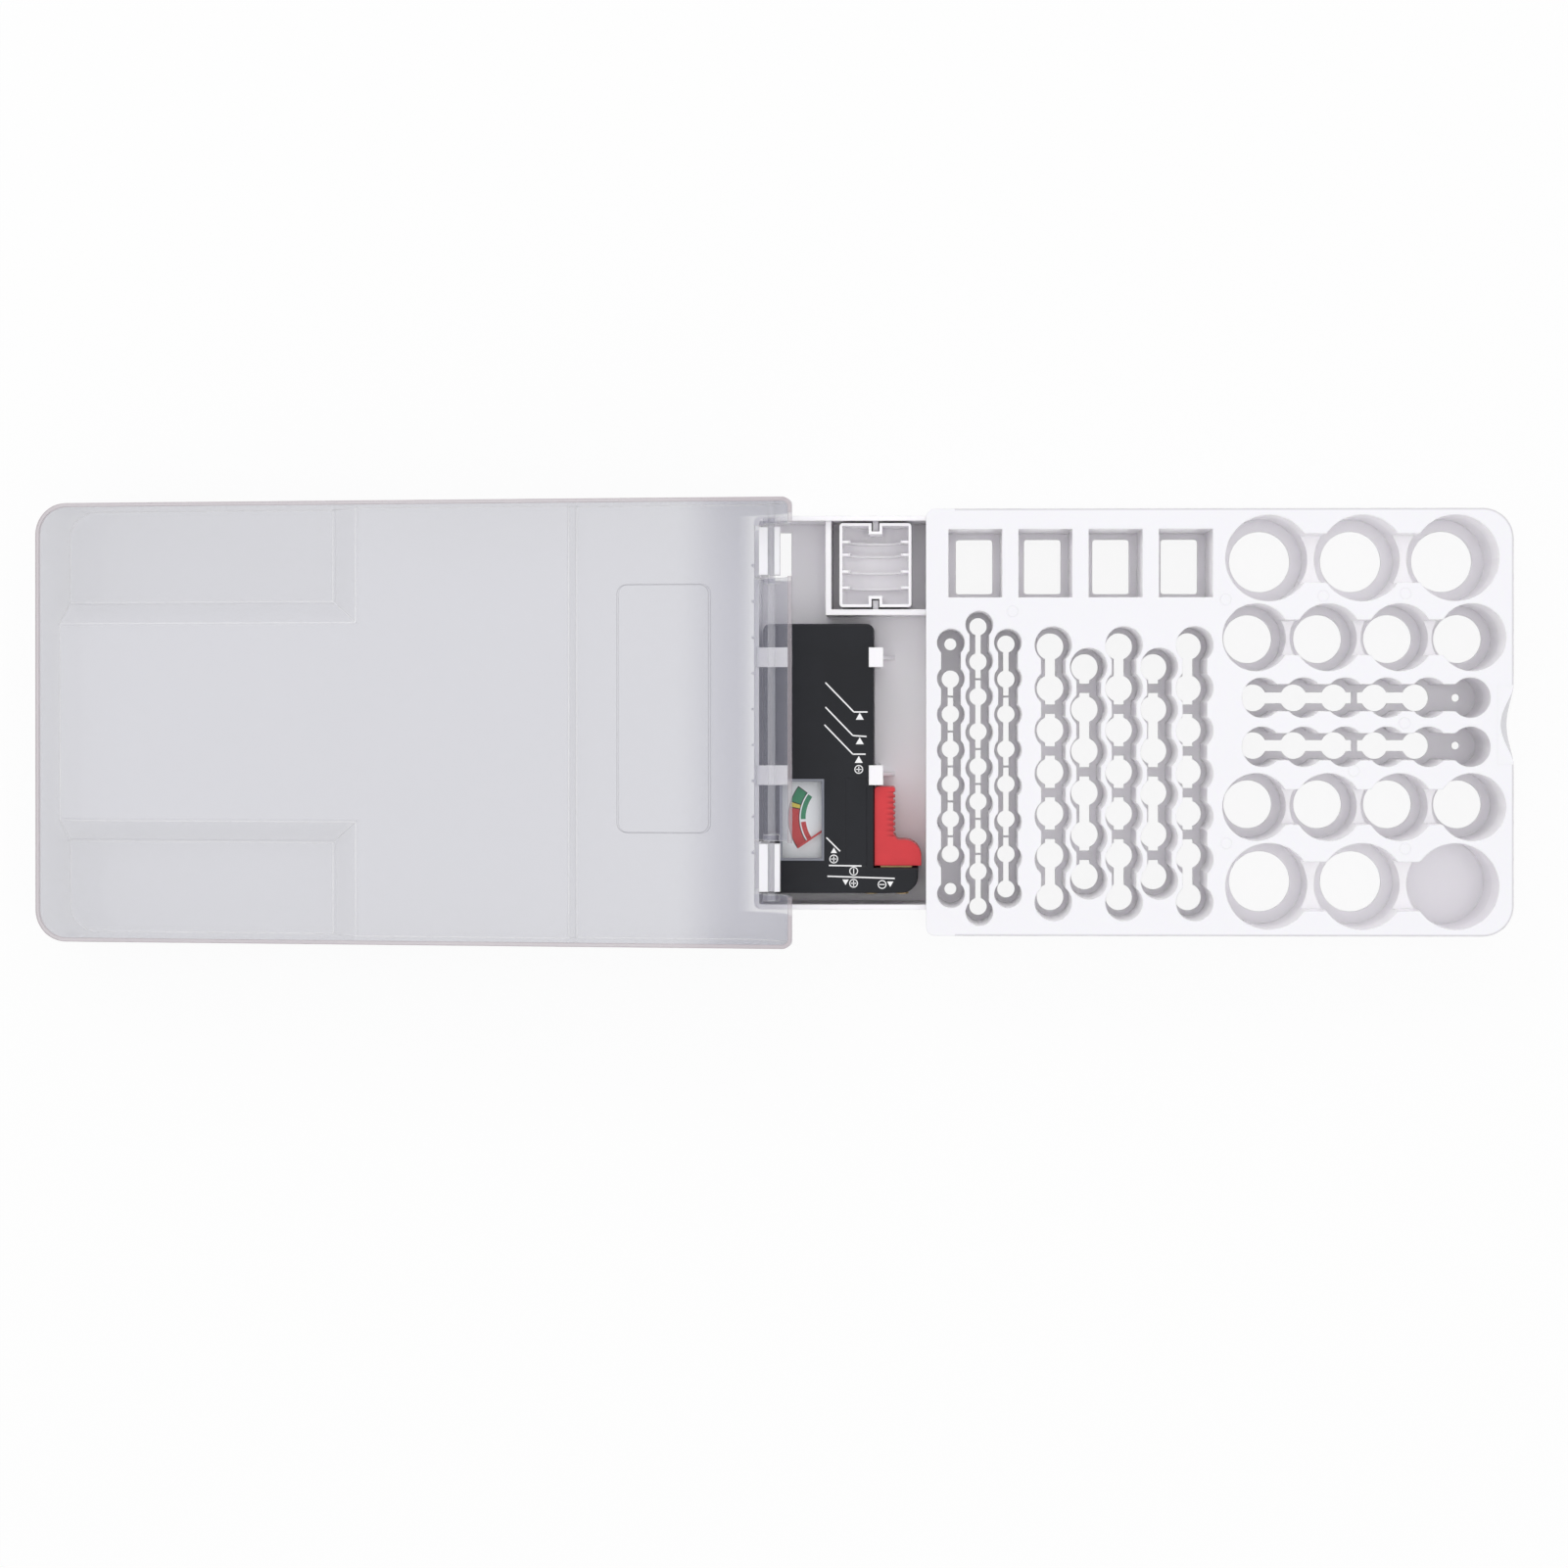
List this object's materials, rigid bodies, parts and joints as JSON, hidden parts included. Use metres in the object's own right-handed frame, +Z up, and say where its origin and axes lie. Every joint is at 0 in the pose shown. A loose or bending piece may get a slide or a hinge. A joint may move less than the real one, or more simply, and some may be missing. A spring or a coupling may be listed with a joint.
{
  "type": "battery storage case",
  "caption": "Shallow moulded tray of round, narrow and oblong cell wells with a hinged clear cover, a lift-out button-cell caddy and a clipped-in battery tester with a slider and a dial.",
  "frame": {"origin": "on the tray's underside, straight below the hinge axis and on the deck's centreline", "axes": "+X from the hinge to the wells, +Y towards the side with the caddy, +Z up; the case is stored open, with its cover along -X"},
  "size_m": [0.6051, 0.18, 0.0655],
  "materials": {
    "tray_white": "glossy injection-moulded white styrene with a faint lilac tint",
    "cover_clear": "clear glossy moulded styrene",
    "tester_black": "satin black moulded plastic",
    "window_clear": "clear polished window",
    "dial_card": "printed card with coloured arcs",
    "needle_red": "red painted wire",
    "coil_copper": "enamelled copper winding",
    "iron": "bare soft iron",
    "frame_brass": "stamped brass",
    "slider_red": "satin red moulded plastic",
    "contact_gold": "plated brass strip",
    "board_green": "printed circuit laminate",
    "resistor_tan": "lacquered ceramic",
    "screw_steel": "zinc-plated steel"
  },
  "bodies": {
    "case": {"tray": "tray_white", "tester_bay": "tray_white", "tester_top_shell": "tester_black", "tester_base_shell": "tester_black", "meter_window": "window_clear", "meter_dial": "dial_card", "meter_core": "iron", "meter_ring": "iron", "meter_frame": "frame_brass", "foot_contact": "contact_gold", "nine_volt_contacts": "contact_gold", "circuit_board": "board_green", "load_resistors": "resistor_tan", "tester_screws": "screw_steel"},
    "cover_body": {"cover": "cover_clear", "hinge_rod": "cover_clear"},
    "caddy_body": {"cell_caddy": "tray_white"},
    "slider_body": {"tester_slider": "slider_red", "slider_contact": "contact_gold"},
    "needle_body": {"meter_needle": "needle_red", "meter_coil": "coil_copper"}
  },
  "joints": [
    {"name": "cover_hinge", "type": "hinge", "parent": "case", "child": "cover_body", "pos_m": [0, 0, 0.048], "axis": [0, 1, 0], "range_deg": [0, 185.9]},
    {"name": "caddy_lift", "type": "slide", "parent": "case", "child": "caddy_body", "axis": [0, 0, 1], "range_m": [0, 0.03]},
    {"name": "slider_travel", "type": "slide", "parent": "case", "child": "slider_body", "axis": [0, 1, 0], "range_m": [0, 0.0006]},
    {"name": "needle_swing", "type": "hinge", "parent": "case", "child": "needle_body", "pos_m": [0.0266, -0.0402, 0.02], "axis": [0, 0, -1], "range_deg": [0, 68], "stiffness_Nm_per_rad": 0.00002}
  ]
}
